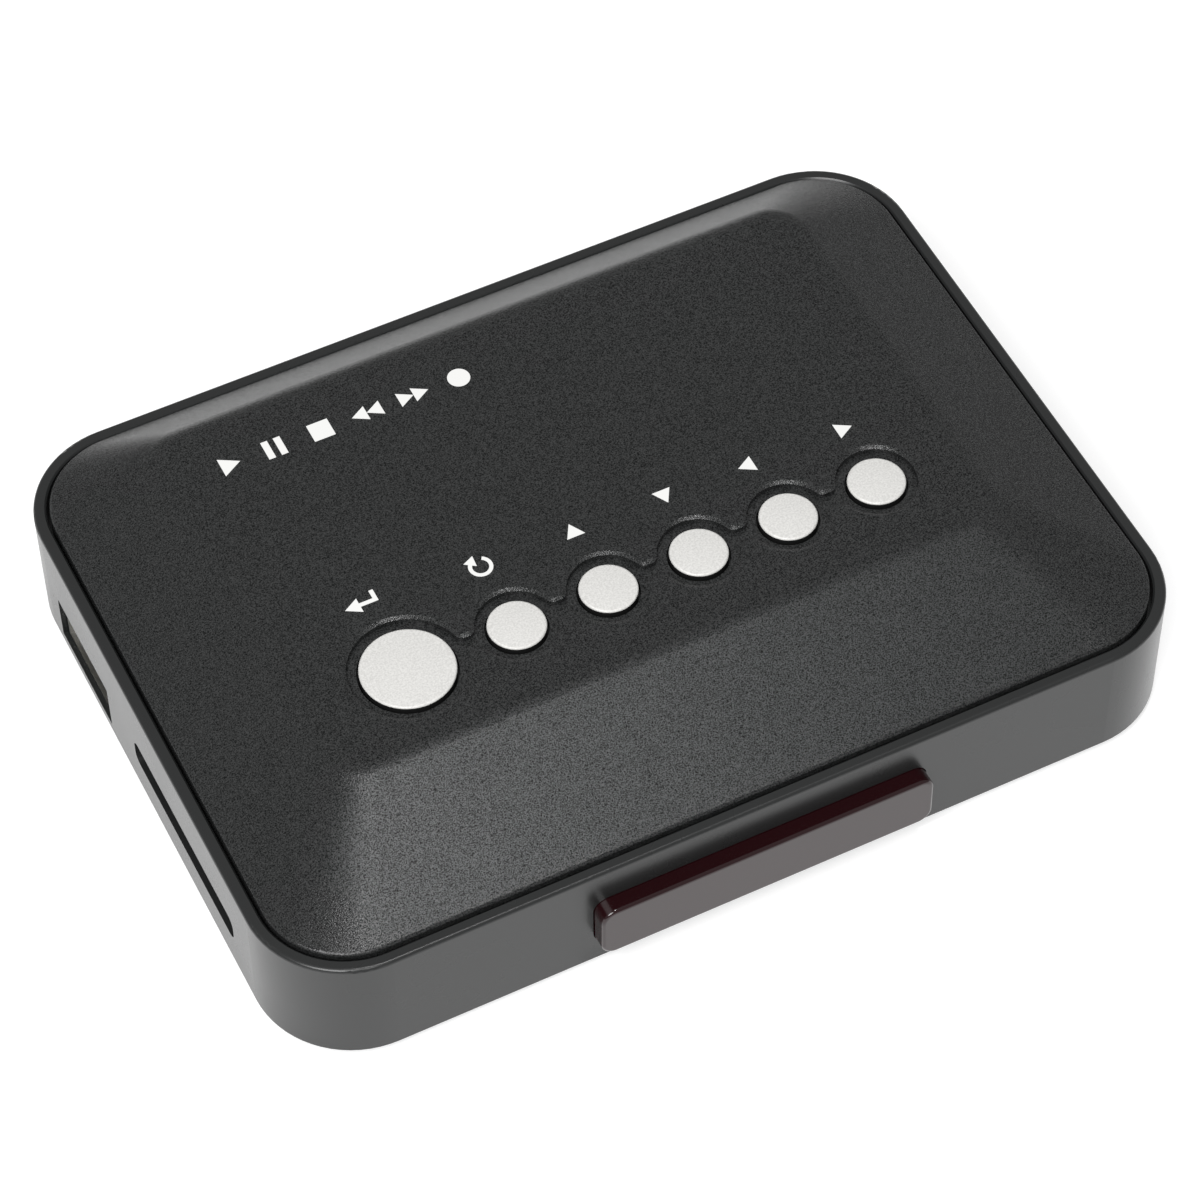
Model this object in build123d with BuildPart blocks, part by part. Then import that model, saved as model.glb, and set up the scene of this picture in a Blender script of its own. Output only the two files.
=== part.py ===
from build123d import *
import os

os.makedirs("parts", exist_ok=True)

# A compact media player: a flat tub-shaped case with an inset top cover, six push buttons on the
# raised top, a USB socket and a memory card slot in the left wall, a remote-control window in the
# front wall, and picture, sound and power sockets in the rear wall.
#
# Frame: +X right, -Y front, +Z up, origin at the centre of the footprint, on the surface that the
# feet stand on. Heights written as ..._z are above the underside of the case floor.

# ---- Sizes that drive the case -------------------------------------------------------------
case_length = 108.0
case_width = 79.0
wall_height = 15.7          # underside of the floor to the rim
corner_radius = 11.4
wall = 2.5
floor = 1.6
bottom_edge = 0.6           # chamfer round the underside
rim_land = 1.45             # flat top of the rim, outer face to the groove
rim_edge = 0.45
rim_inner_edge = 0.2
cover_gap = 0.35            # open groove between the rim and the cover
ledge_depth = 2.6           # rim down to the ledge that carries the cover

foot_proud = 0.8
foot_recess = 0.5
foot_diameter = 8.0
foot_inset = 10.0           # outer face of a side wall to the middle of a foot
foot_from_screw = 13.0
foot_edge = 0.3
foot_fit = 0.1              # round each foot in its recess

vent_length = 22.0
vent_width = 1.6
vent_spacing = 3.6
vent_count = 8
vent_y = 4.0

# ---- Sizes that drive the top cover --------------------------------------------------------
plateau_rise = 5.5          # rim to the flat top
plateau_length = 79.0
plateau_width = 50.6
plateau_shift = 5.3         # the flat top lies behind the middle of the case
plateau_corner = 4.0
crease_radius = 5.0
cover_edge_rise = 0.3       # the cover's edge stands this much above the rim
cover_edge_radius = 0.4
cover_wall = 1.8
cover_side = 1.8

# ---- Sizes that drive the buttons ----------------------------------------------------------
big_diameter = 10.5
small_diameter = 6.5
big_x = -27.0
first_small_x = -14.2
button_spacing = 10.9
button_row_y = -10.0
button_names = ("return", "up", "down", "left", "right")
button_proud = 0.05
button_edge = 0.25
button_crown = 0.15         # rise of the cap from its rim to its middle
button_gap = 0.25           # round each cap in its hole
button_flange = 1.2         # flange that stops the cap from coming out
button_flange_thick = 0.8
button_flange_gap = 0.1
button_travel = 0.3
recess_depth = 0.8
recess_margin = 1.3         # dished floor round each button
recess_slope_width = 0.45   # shallow slope from the flat top to the wall of the recess
recess_slope_depth = 0.18
neck_half_width = 0.95
neck_fillet = 0.9
pick_tolerance = 0.001      # for choosing corners by their distance

# ---- Sizes that drive the key board and its switches ----------------------------------------
switch_size = 6.0
switch_height = 3.4
switch_plate = 0.3
switch_corner = 0.3
plunger_diameter = 3.5
plunger_gap = 0.1
plunger_proud = 0.9
plunger_depth = 1.0
switch_y_pin = 2.25
switch_pin_width = 0.7
switch_pin_thick = 0.3
switch_pin_rise = 1.0
switch_pin_tail = 1.0
stem_diameter = 3.0
stem_length = 0.6
key_board_thick = 1.2
key_board_length = 72.0
key_board_width = 16.4
key_board_corner = 1.5
key_boss_diameter = 4.2
key_screw_offset = 5.6

# ---- Sizes that drive the main board ---------------------------------------------------------
board_thick = 1.6
board_z = 3.5               # underside of the main board
board_margin = 0.8
board_front_margin = 1.5
board_notch_gap = 0.3       # round the USB socket's shell

# ---- Fasteners -----------------------------------------------------------------------------
case_screw_inset = 9.5      # outer faces of the walls to a screw
case_screw_shank = 2.4
case_screw_head = 4.4
case_screw_head_height = 1.5
case_screw_length = 10.0
case_screw_sunk = 0.4       # head below the underside
case_boss_diameter = 6.4
post_diameter = 6.0
screw_fit = 0.05            # round a shank in its moulded bore
screw_clearance = 0.25      # round a shank in a plate that it clamps
small_screw_shank = 1.9
small_screw_head = 3.6
small_screw_head_height = 1.2
board_screw_length = 4.4
key_screw_length = 5.0
board_boss_diameter = 5.0
front_board_screw_inset = 7.5   # edge of the main board to the screw
rear_board_screw_inset = 14.2
rear_board_screw_x = 24.0
slot_width = 0.6            # driver recess of every screw
slot_depth = 0.6
slot_share = 0.62           # of the head that the driver recess spans
head_edge_share = 0.4       # rounding of a head, of its height
tip_share = 0.2             # chamfer of a tip, of the shank

# ---- Remote-control window --------------------------------------------------------------------
window_length = 39.8
window_height = 7.6
window_z = 7.2              # middle of the window
window_corner = 1.8
window_proud = 2.0
window_edge = 0.4
window_fit = 0.1
window_flange = 1.1
window_flange_thick = 1.0
window_wall = 1.4

# ---- Left wall: USB socket and card slot ---------------------------------------------------------
usb_place = 0.23            # socket behind the middle of the case, of its width
usb_z = 4.85
usb_shell_width = 13.2
usb_shell_height = 5.8
usb_shell_length = 14.0
usb_sheet = 0.3
usb_inset = 0.6             # mouth behind the outer face of the wall
usb_opening_gap = 0.2
usb_side_gap = 0.45
usb_tongue_width = 11.1
usb_tongue_height = 1.8
usb_tongue_length = 8.8
usb_tongue_drop = 0.7       # below the shell's upper sheet
usb_block_length = 3.6
usb_tab_width = 3.0
usb_tab_reach = 1.6
usb_contact_width = 1.0
usb_contact_length = 7.4
usb_contact_thick = 0.2
usb_contact_spacing = 2.5
usb_contact_count = 4

card_place = 0.125          # slot before the middle of the case, of its width
card_slot_width = 26.6
card_slot_height = 3.5
card_slot_corner = 1.2
card_socket_width = 28.2
card_socket_length = 27.0
card_socket_height = 3.4
card_mouth_width = 24.6
card_base_thick = 0.6
card_cover_sheet = 0.3
card_wall_gap = 0.3
card_back_length = 3.0
card_spring_length = 9.0
card_spring_slit = 0.7
card_spring_spacing = 7.0
card_spring_count = 2
card_contact_count = 9
card_contact_spacing = 2.5
card_contact_width = 1.0
card_contact_length = 6.0
card_contact_thick = 0.2

# ---- Rear wall: picture, sound and power sockets --------------------------------------------------
socket_inset = 0.5          # mouths behind the outer face of the rear wall
socket_opening_gap = 0.3
socket_wall_gap = 0.2       # between a socket's body and the wall's inner face
hdmi_x = 12.0
hdmi_width = 15.0
hdmi_height = 5.6
hdmi_corner = 1.7
hdmi_length = 11.6
hdmi_sheet = 0.4
hdmi_block_length = 3.0
hdmi_tongue_width = 11.6
hdmi_tongue_height = 1.1
hdmi_tongue_length = 7.0
hdmi_contact_count = 10
hdmi_contact_spacing = 1.0
hdmi_contact_width = 0.35
hdmi_contact_length = 5.5
hdmi_contact_thick = 0.15

av_x = -10.0
av_body = 6.2
av_height = 5.6
av_length = 14.0
av_barrel = 5.0
av_bore = 3.6
av_bore_depth = 13.0
dc_x = -30.0
dc_body = 6.6
dc_height = 6.6
dc_length = 11.5
dc_barrel = 6.0
dc_bore = 4.2
dc_bore_depth = 9.5
dc_pin = 1.3
dc_pin_length = 8.0
dc_pin_edge = 0.4

# ---- Parts on the main board ------------------------------------------------------------------
processor_x = 8.0
processor_y = 10.0
processor_size = 16.0
processor_height = 1.4
heatsink_height = 6.0
heatsink_base = 1.6
fin_count = 6
fin_thick = 1.0

memory_length = 10.2
memory_width = 13.0
memory_height = 1.1
memory_points = ((29.0, 4.0), (29.0, -12.0))
lead_width = 0.4
lead_spacing = 0.8
lead_reach = 0.7
lead_thick = 0.15
lead_count = 14

flash_length = 5.3
flash_width = 5.3
flash_height = 1.8
flash_x = 12.0
flash_y = -8.0

regulator_length = 6.5
regulator_width = 3.5
regulator_height = 1.6
regulator_points = ((-30.0, 15.0), (-18.0, 15.0), (40.0, 16.0))

inductor_diameter = 5.2
inductor_height = 3.2
inductor_points = ((-30.0, 8.5), (-18.0, 8.5), (40.0, 8.5))
inductor_base_height = 0.6
inductor_base_size = 5.8
inductor_base_corner = 0.6

can_diameter = 6.3
can_height = 5.2
can_base = 6.6
can_base_height = 0.9
can_edge = 0.5
can_inset = 5.2             # rear edge of the main board to the middle of the rear cans
rear_can_xs = (-20.0, 26.0)
side_can_inset = 14.7       # right edge of the main board to the middle of the third can
side_can_y = -26.0

crystal_length = 11.2
crystal_width = 4.6
crystal_height = 3.4
crystal_edge = 0.4
crystal_x = -8.0
crystal_y = 10.0

chip_length = 1.6
chip_width = 0.8
chip_height = 0.7
chip_spacing = 2.4
chip_rows = 4
chip_stand_off = 4.0        # both sides of the processor together

header_x = 5.0
header_y = -3.4
header_count = 7
header_spacing = 2.54
header_width = 2.5
header_socket_height = 4.8
header_pin = 0.6
header_pin_gap = 0.1
header_pin_reach = 3.6
header_pin_rise = 0.6       # end of a pin above the key board

receiver_x = 9.0
receiver_width = 5.6
receiver_depth = 3.0
receiver_height = 7.0
receiver_lens = 2.1
receiver_eye = 4.6          # middle of the lens above the main board
led_xs = (-5.0, -11.0)
led_diameter = 3.0
led_length = 4.6
led_height = 2.4            # axis above the main board
led_holder = 4.2
window_clearance = 0.5      # between the window's flange and what stands behind it

# ---- Places worked out from the sizes ---------------------------------------------------------
case_y = window_proud / 2
board_top_z = board_z + board_thick
ledge_z = wall_height - ledge_depth
cover_inset = rim_land + cover_gap
cover_length = case_length - 2 * cover_inset
cover_width = case_width - 2 * cover_inset
cover_corner = corner_radius - cover_inset
edge_z = wall_height + cover_edge_rise
plateau_z = wall_height + plateau_rise
ceiling_z = plateau_z - cover_wall

inner_length = case_length - 2 * wall
inner_width = case_width - 2 * wall
inner_corner = corner_radius - wall

flange_top_z = ceiling_z - button_flange_gap
flange_bottom_z = flange_top_z - button_flange_thick
stem_bottom_z = flange_bottom_z - stem_length
switch_top_z = stem_bottom_z - plunger_proud
key_board_top_z = switch_top_z - switch_height
key_board_z = key_board_top_z - key_board_thick

small_xs = [first_small_x + k * button_spacing for k in range(len(button_names))]
buttons = [("enter", big_x, big_diameter)]
buttons += [(name, x, small_diameter) for name, x in zip(button_names, small_xs)]

big_flange_edge = big_x + big_diameter / 2 + button_flange
small_flange_edge = first_small_x - small_diameter / 2 - button_flange
key_screw_xs = ((big_flange_edge + small_flange_edge) / 2, (small_xs[3] + small_xs[4]) / 2)
key_screw_points = [
    (x, button_row_y + side * key_screw_offset)
    for x in key_screw_xs
    for side in (-1, 1)
]

case_screw_x = case_length / 2 - case_screw_inset
case_screw_y = case_width / 2 - case_screw_inset
case_screw_points = [
    (side * case_screw_x, end * case_screw_y) for side in (-1, 1) for end in (-1, 1)
]
foot_x = case_length / 2 - foot_inset
foot_y = case_screw_y - foot_from_screw
foot_points = [(side * foot_x, end * foot_y) for side in (-1, 1) for end in (-1, 1)]
case_head_z = case_screw_sunk + case_screw_head_height

board_length = inner_length - 2 * board_margin
board_corner = inner_corner - board_margin
board_front_y = -inner_width / 2 + board_front_margin
board_rear_y = inner_width / 2 - board_margin
board_screw_points = (
    (0, board_front_y + front_board_screw_inset),
    (rear_board_screw_x, board_rear_y - rear_board_screw_inset),
)
can_points = [(x, board_rear_y - can_inset) for x in rear_can_xs]
can_points += [(board_length / 2 - side_can_inset, side_can_y)]
usb_y = usb_place * case_width
card_y = -card_place * case_width
behind_window_y = -inner_width / 2 + window_flange_thick + window_clearance


def level(z):
    """Horizontal plane at height z, centred on the case."""
    return Plane((0, case_y, foot_proud + z))


def left_wall(depth):
    """Plane inside the left wall's outer face, seen with +Y to the right and +Z up."""
    origin = (-case_length / 2 + depth, case_y, foot_proud)
    return Plane(origin, x_dir=(0, 1, 0), z_dir=(1, 0, 0))


def rear_wall(depth):
    """Plane inside the rear wall's outer face, with +X and +Z as its axes, facing the front."""
    origin = (0, case_y + case_width / 2 - depth, foot_proud)
    return Plane(origin, x_dir=(1, 0, 0), z_dir=(0, -1, 0))


def front_wall(depth):
    """Plane inside the front wall's outer face, with +X and +Z as its axes, facing the front."""
    origin = (0, case_y - case_width / 2 + depth, foot_proud)
    return Plane(origin, x_dir=(1, 0, 0), z_dir=(0, -1, 0))


# ---- Lower case: a moulded tub with the rim, the ledge, the port openings and the bosses --------
def picture_socket_corners(grow):
    """Corners of the picture socket's outline, lower ones cut, grown by a margin."""
    half = hdmi_width / 2 + grow
    low = board_top_z - grow
    high = board_top_z + hdmi_height + grow
    return (
        (hdmi_x - half, high),
        (hdmi_x - half, low + hdmi_corner),
        (hdmi_x - half + hdmi_corner, low),
        (hdmi_x + half - hdmi_corner, low),
        (hdmi_x + half, low + hdmi_corner),
        (hdmi_x + half, high),
    )


av_z = board_top_z + av_height / 2
dc_z = board_top_z + dc_height / 2
usb_opening_width = usb_shell_width + 2 * usb_side_gap
usb_opening_height = usb_shell_height + 2 * usb_opening_gap
card_z = board_top_z + card_socket_height / 2

with BuildPart() as lower_case:
    with BuildSketch(level(0)):
        RectangleRounded(case_length, case_width, corner_radius)
    extrude(amount=wall_height)
    chamfer(lower_case.faces().sort_by(Axis.Z)[0].edges(), bottom_edge)
    with BuildSketch(level(floor)):
        RectangleRounded(inner_length, inner_width, inner_corner)
    extrude(amount=wall_height - floor, mode=Mode.SUBTRACT)
    with BuildSketch(level(ledge_z)):
        RectangleRounded(
            case_length - 2 * rim_land, case_width - 2 * rim_land, corner_radius - rim_land
        )
    extrude(amount=ledge_depth, mode=Mode.SUBTRACT)
    rim = lower_case.faces().sort_by(Axis.Z)[-1]
    fillet(rim.outer_wire().edges(), rim_edge)
    rim = lower_case.faces().sort_by(Axis.Z)[-1]
    chamfer(rim.inner_wires()[0].edges(), rim_inner_edge)

    with BuildSketch(level(floor)):
        with Locations(*case_screw_points):
            Circle(case_boss_diameter / 2)
        with Locations(*board_screw_points):
            Circle(board_boss_diameter / 2)
    extrude(amount=board_z - floor)
    with BuildSketch(level(0)):
        with Locations(*case_screw_points):
            Circle(case_screw_head / 2 + screw_clearance)
    extrude(amount=case_head_z, mode=Mode.SUBTRACT)
    with BuildSketch(level(0)):
        with Locations(*case_screw_points):
            Circle(case_screw_shank / 2 + screw_clearance)
    extrude(amount=board_z, mode=Mode.SUBTRACT)
    with BuildSketch(level(board_z)):
        with Locations(*board_screw_points):
            Circle(small_screw_shank / 2 + screw_fit)
    extrude(amount=-(board_screw_length - board_thick), mode=Mode.SUBTRACT)

    with BuildSketch(level(0)):
        with Locations(*foot_points):
            Circle(foot_diameter / 2)
    extrude(amount=foot_recess, mode=Mode.SUBTRACT)
    with BuildSketch(level(0)):
        with Locations((0, vent_y)):
            with GridLocations(0, vent_spacing, 1, vent_count):
                SlotOverall(vent_length, vent_width)
    extrude(amount=floor, mode=Mode.SUBTRACT)

    with BuildSketch(left_wall(0)):
        with Locations((usb_y, usb_z)):
            Rectangle(usb_opening_width, usb_opening_height)
        with Locations((card_y, card_z)):
            RectangleRounded(card_slot_width, card_slot_height, card_slot_corner)
    extrude(amount=wall, mode=Mode.SUBTRACT)
    with BuildSketch(rear_wall(0)):
        Polygon(*picture_socket_corners(socket_opening_gap), align=None)
        with Locations((av_x, av_z)):
            Circle(av_barrel / 2 + socket_opening_gap)
        with Locations((dc_x, dc_z)):
            Circle(dc_barrel / 2 + socket_opening_gap)
    extrude(amount=wall, mode=Mode.SUBTRACT)
    with BuildSketch(front_wall(0)):
        with Locations((0, window_z)):
            RectangleRounded(window_length, window_height, window_corner)
    extrude(amount=-wall, mode=Mode.SUBTRACT)

lower_case.part.label = "lower_case"
export_step(lower_case.part, "parts/lower_case.step")

# ---- Top cover: a moulded lid with four slopes up to a flat top ---------------------------------
def sloped_form(lowered):
    """Edge band on the ledge with the four slopes above it, lowered by the given amount."""
    with BuildPart() as form:
        with BuildSketch(level(ledge_z)):
            RectangleRounded(cover_length, cover_width, cover_corner)
        extrude(amount=edge_z - lowered - ledge_z)
        with BuildSketch(level(edge_z - lowered)):
            RectangleRounded(cover_length, cover_width, cover_corner)
        with BuildSketch(level(plateau_z - lowered)):
            with Locations((0, plateau_shift)):
                RectangleRounded(plateau_length, plateau_width, plateau_corner)
        loft(ruled=True)
    return form.part


outer_form = sloped_form(0)
inner_form = sloped_form(cover_wall)

with BuildPart() as cover_inside:
    add(inner_form)
    with BuildSketch(level(ledge_z)):
        RectangleRounded(
            cover_length - 2 * cover_side, cover_width - 2 * cover_side, cover_corner - cover_side
        )
    extrude(amount=plateau_z - ledge_z, mode=Mode.INTERSECT)
    with BuildSketch(level(ledge_z)):
        with Locations(*case_screw_points):
            Circle(post_diameter / 2)
    extrude(amount=plateau_z - ledge_z, mode=Mode.SUBTRACT)

with BuildPart() as top_cover:
    add(outer_form)
    fillet(top_cover.faces().sort_by(Axis.Z)[-1].edges(), crease_radius)
    brim_z = foot_proud + edge_z
    brim = top_cover.edges().filter_by_position(Axis.Z, brim_z, brim_z)
    fillet(brim, cover_edge_radius)
    add(cover_inside.part, mode=Mode.SUBTRACT)
    with BuildSketch(level(ledge_z)):
        with Locations(*case_screw_points):
            Circle(post_diameter / 2)
    extrude(amount=board_top_z - ledge_z)
    with BuildSketch(level(key_board_top_z)):
        with Locations(*key_screw_points):
            Circle(key_boss_diameter / 2)
    extrude(amount=ceiling_z - key_board_top_z)

    with BuildSketch(level(plateau_z - recess_depth)) as recess:
        for _, x, diameter in buttons:
            with Locations((x, button_row_y)):
                Circle(diameter / 2 + recess_margin)
        for (_, x, _), (_, following_x, _) in zip(buttons, buttons[1:]):
            with Locations(((x + following_x) / 2, button_row_y)):
                Rectangle(following_x - x, 2 * neck_half_width)
        neck_corners = [
            corner
            for corner in recess.vertices()
            if abs(abs(corner.Y - button_row_y) - neck_half_width) < pick_tolerance
        ]
        fillet(neck_corners, neck_fillet)
    extrude(amount=recess_depth, mode=Mode.SUBTRACT)
    flat_top = top_cover.faces().filter_by(Axis.Z).sort_by(Axis.Z)[-1]
    recess_rim = flat_top.inner_wires()[0].edges()
    chamfer(recess_rim, recess_slope_width, recess_slope_depth, reference=flat_top)
    with BuildSketch(level(ceiling_z)):
        for _, x, diameter in buttons:
            with Locations((x, button_row_y)):
                Circle(diameter / 2 + button_gap)
    extrude(amount=cover_wall, mode=Mode.SUBTRACT)

    with BuildSketch(level(board_top_z)):
        with Locations(*case_screw_points):
            Circle(case_screw_shank / 2 + screw_fit)
    extrude(amount=case_screw_length + case_head_z - board_top_z, mode=Mode.SUBTRACT)
    with BuildSketch(level(key_board_top_z)):
        with Locations(*key_screw_points):
            Circle(small_screw_shank / 2 + screw_fit)
    extrude(amount=key_screw_length - key_board_thick, mode=Mode.SUBTRACT)

top_cover.part.label = "top_cover"
export_step(top_cover.part, "parts/top_cover.step")

# ---- Remote-control window: clear red plastic, pushed in from inside, held by its flange --------
with BuildPart() as ir_window:
    with BuildSketch(front_wall(wall)):
        with Locations((0, window_z)):
            RectangleRounded(
                window_length - 2 * window_fit,
                window_height - 2 * window_fit,
                window_corner - window_fit,
            )
    extrude(amount=wall + window_proud)
    fillet(ir_window.faces().sort_by(Axis.Y)[0].edges(), window_edge)
    with BuildSketch(front_wall(wall + window_flange_thick)):
        with Locations((0, window_z)):
            RectangleRounded(
                window_length + 2 * window_flange,
                window_height + 2 * window_flange,
                window_corner + window_flange,
            )
    extrude(amount=window_flange_thick)
    with BuildSketch(front_wall(wall + window_flange_thick)):
        with Locations((0, window_z)):
            Rectangle(window_length - 2 * window_wall, window_height - 2 * window_wall)
    hollow = wall + window_flange_thick + window_proud - window_wall
    extrude(amount=hollow, mode=Mode.SUBTRACT)

ir_window.part.label = "ir_window"
export_step(ir_window.part, "parts/ir_window.step")

# ---- Feet: rubber pads stuck in round recesses ---------------------------------------------------
with BuildPart() as rubber_feet:
    with BuildSketch(level(foot_recess)):
        with Locations(*foot_points):
            Circle(foot_diameter / 2 - foot_fit)
    extrude(amount=-foot_recess - foot_proud)
    fillet(rubber_feet.faces().group_by(Axis.Z)[0].edges(), foot_edge)

rubber_feet.part.label = "rubber_feet"
export_step(rubber_feet.part, "parts/rubber_feet.step")


# ---- Screws ------------------------------------------------------------------------------------------
def screws(points, seat_z, up, head, head_height, shank, length):
    """Pan-head screws whose heads bear on seat_z; the shanks point up or down from there."""
    with BuildPart() as group:
        with BuildSketch(level(seat_z)):
            with Locations(*points):
                Circle(head / 2)
        extrude(amount=-up * head_height)
        outer = group.faces().filter_by(Axis.Z).sort_by(Axis.Z, reverse=up < 0)[: len(points)]
        fillet(outer.edges(), head_height * head_edge_share)
        with BuildSketch(level(seat_z)):
            with Locations(*points):
                Circle(shank / 2)
        extrude(amount=up * length)
        tips = group.faces().filter_by(Axis.Z).sort_by(Axis.Z, reverse=up > 0)[: len(points)]
        chamfer(tips.edges(), shank * tip_share)
        with BuildSketch(level(seat_z - up * head_height)):
            with Locations(*points):
                Rectangle(head * slot_share, slot_width)
                Rectangle(slot_width, head * slot_share)
        extrude(amount=up * slot_depth, mode=Mode.SUBTRACT)
    return group.part


case_screws = screws(
    case_screw_points,
    case_head_z,
    1,
    case_screw_head,
    case_screw_head_height,
    case_screw_shank,
    case_screw_length,
)
case_screws.label = "case_screws"
export_step(case_screws, "parts/case_screws.step")

board_screws = screws(
    board_screw_points,
    board_top_z,
    -1,
    small_screw_head,
    small_screw_head_height,
    small_screw_shank,
    board_screw_length,
)
board_screws.label = "board_screws"
export_step(board_screws, "parts/board_screws.step")

key_board_screws = screws(
    key_screw_points,
    key_board_z,
    1,
    small_screw_head,
    small_screw_head_height,
    small_screw_shank,
    key_screw_length,
)
key_board_screws.label = "key_board_screws"
export_step(key_board_screws, "parts/key_board_screws.step")

# ---- Main board: glass-fibre board screwed to the bosses, notched round the USB socket -------------
usb_back = usb_inset + usb_shell_length
with BuildPart() as main_board:
    with BuildSketch(level(board_z)):
        with Locations((0, (board_front_y + board_rear_y) / 2)):
            RectangleRounded(board_length, board_rear_y - board_front_y, board_corner)
        notch_length = usb_back + board_notch_gap
        with Locations((-case_length / 2 + notch_length / 2, usb_y)):
            Rectangle(notch_length, usb_shell_width + 2 * board_notch_gap, mode=Mode.SUBTRACT)
        with Locations(*case_screw_points):
            Circle(case_screw_shank / 2 + screw_clearance, mode=Mode.SUBTRACT)
        with Locations(*board_screw_points):
            Circle(small_screw_shank / 2 + screw_clearance, mode=Mode.SUBTRACT)
    extrude(amount=board_thick)

main_board.part.label = "main_board"
export_step(main_board.part, "parts/main_board.step")

# ---- Key board: narrow board screwed under the cover, carrying the six switches ---------------------
switch_points = [(x, button_row_y) for _, x, _ in buttons]
terminal_points = [
    (x + side * (switch_size + switch_pin_thick) / 2, y + end * switch_y_pin)
    for x, y in switch_points
    for side in (-1, 1)
    for end in (-1, 1)
]
header_points = [
    (header_x + (k - (header_count - 1) / 2) * header_spacing, header_y) for k in range(header_count)
]

with BuildPart() as key_board:
    with BuildSketch(level(key_board_z)):
        with Locations((0, button_row_y)):
            RectangleRounded(key_board_length, key_board_width, key_board_corner)
        with Locations(*key_screw_points):
            Circle(small_screw_shank / 2 + screw_clearance, mode=Mode.SUBTRACT)
        with Locations(*terminal_points):
            Rectangle(
                switch_pin_thick + 2 * header_pin_gap,
                switch_pin_width + 2 * header_pin_gap,
                mode=Mode.SUBTRACT,
            )
        with Locations(*header_points):
            Rectangle(
                header_pin + 2 * header_pin_gap, header_pin + 2 * header_pin_gap, mode=Mode.SUBTRACT
            )
    extrude(amount=key_board_thick)

key_board.part.label = "key_board"
export_step(key_board.part, "parts/key_board.step")

# ---- Switches under the buttons: moulded bodies, steel top plates and bent terminals ----------------
with BuildPart() as switch_bodies:
    with BuildSketch(level(key_board_top_z)):
        with Locations(*switch_points):
            Rectangle(switch_size, switch_size)
    extrude(amount=switch_height - switch_plate)
    with BuildSketch(level(switch_top_z)):
        with Locations(*switch_points):
            Circle(plunger_diameter / 2 + plunger_gap)
    extrude(amount=-plunger_depth - button_travel - plunger_gap, mode=Mode.SUBTRACT)

switch_bodies.part.label = "switch_bodies"
export_step(switch_bodies.part, "parts/switch_bodies.step")

with BuildPart() as switch_plates:
    with BuildSketch(level(switch_top_z)):
        with Locations(*switch_points):
            RectangleRounded(switch_size, switch_size, switch_corner)
            Circle(plunger_diameter / 2 + plunger_gap, mode=Mode.SUBTRACT)
    extrude(amount=-switch_plate)

switch_plates.part.label = "switch_plates"
export_step(switch_plates.part, "parts/switch_plates.step")

with BuildPart() as switch_terminals:
    with BuildSketch(level(key_board_top_z + switch_pin_rise)):
        with Locations(*terminal_points):
            Rectangle(switch_pin_thick, switch_pin_width)
    extrude(amount=-switch_pin_rise - key_board_thick - switch_pin_tail)

switch_terminals.part.label = "switch_terminals"
export_step(switch_terminals.part, "parts/switch_terminals.step")

# ---- Buttons: crowned silver caps with a flange below the cover, each resting on its plunger ---------
for name, x, diameter in buttons:
    with BuildPart() as button:
        upright = Plane((x, case_y + button_row_y, foot_proud), x_dir=(1, 0, 0), z_dir=(0, -1, 0))
        with BuildSketch(upright) as half_outline:
            with BuildLine():
                side_line = Polyline(
                    (0, stem_bottom_z),
                    (stem_diameter / 2, stem_bottom_z),
                    (stem_diameter / 2, flange_bottom_z),
                    (diameter / 2 + button_flange, flange_bottom_z),
                    (diameter / 2 + button_flange, flange_top_z),
                    (diameter / 2, flange_top_z),
                    (diameter / 2, plateau_z + button_proud - button_crown),
                )
                crown = RadiusArc(
                    side_line @ 1,
                    (0, plateau_z + button_proud),
                    -((diameter / 2) ** 2 + button_crown**2) / (2 * button_crown),
                )
                Line(crown @ 1, side_line @ 0)
            make_face()
            fillet(half_outline.vertices().group_by(Axis.Y)[-2], button_edge)
        revolve(axis=Axis(upright.origin, (0, 0, 1)))
    button.part.label = f"{name}_button"
    export_step(button.part, f"parts/{name}_button.step")

    with BuildPart() as plunger:
        with BuildSketch(level(switch_top_z - plunger_depth)):
            with Locations((x, button_row_y)):
                Circle(plunger_diameter / 2)
        extrude(amount=plunger_depth + plunger_proud)
    plunger.part.label = f"{name}_plunger"
    export_step(plunger.part, f"parts/{name}_plunger.step")

# ---- Link between the boards: a socket strip below and a pin strip above -----------------------------
with BuildPart() as header_socket:
    with BuildSketch(level(board_top_z)):
        with Locations((header_x, header_y)):
            Rectangle(header_count * header_spacing, header_width)
    extrude(amount=header_socket_height)
    with BuildSketch(level(board_top_z + header_socket_height)):
        with Locations(*header_points):
            Rectangle(header_pin + 2 * header_pin_gap, header_pin + 2 * header_pin_gap)
    extrude(amount=-header_pin_reach - header_pin_gap, mode=Mode.SUBTRACT)

header_socket.part.label = "header_socket"
export_step(header_socket.part, "parts/header_socket.step")

header_top_z = board_top_z + header_socket_height
with BuildPart() as header_strip:
    with BuildSketch(level(header_top_z)):
        with Locations((header_x, header_y)):
            Rectangle(header_count * header_spacing, header_width)
        with Locations(*header_points):
            Rectangle(header_pin, header_pin, mode=Mode.SUBTRACT)
    extrude(amount=key_board_z - header_top_z)

header_strip.part.label = "header_strip"
export_step(header_strip.part, "parts/header_strip.step")

with BuildPart() as header_pins:
    with BuildSketch(level(header_top_z - header_pin_reach)):
        with Locations(*header_points):
            Rectangle(header_pin, header_pin)
    extrude(amount=key_board_top_z + header_pin_rise - header_top_z + header_pin_reach)

header_pins.part.label = "header_pins"
export_step(header_pins.part, "parts/header_pins.step")

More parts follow.
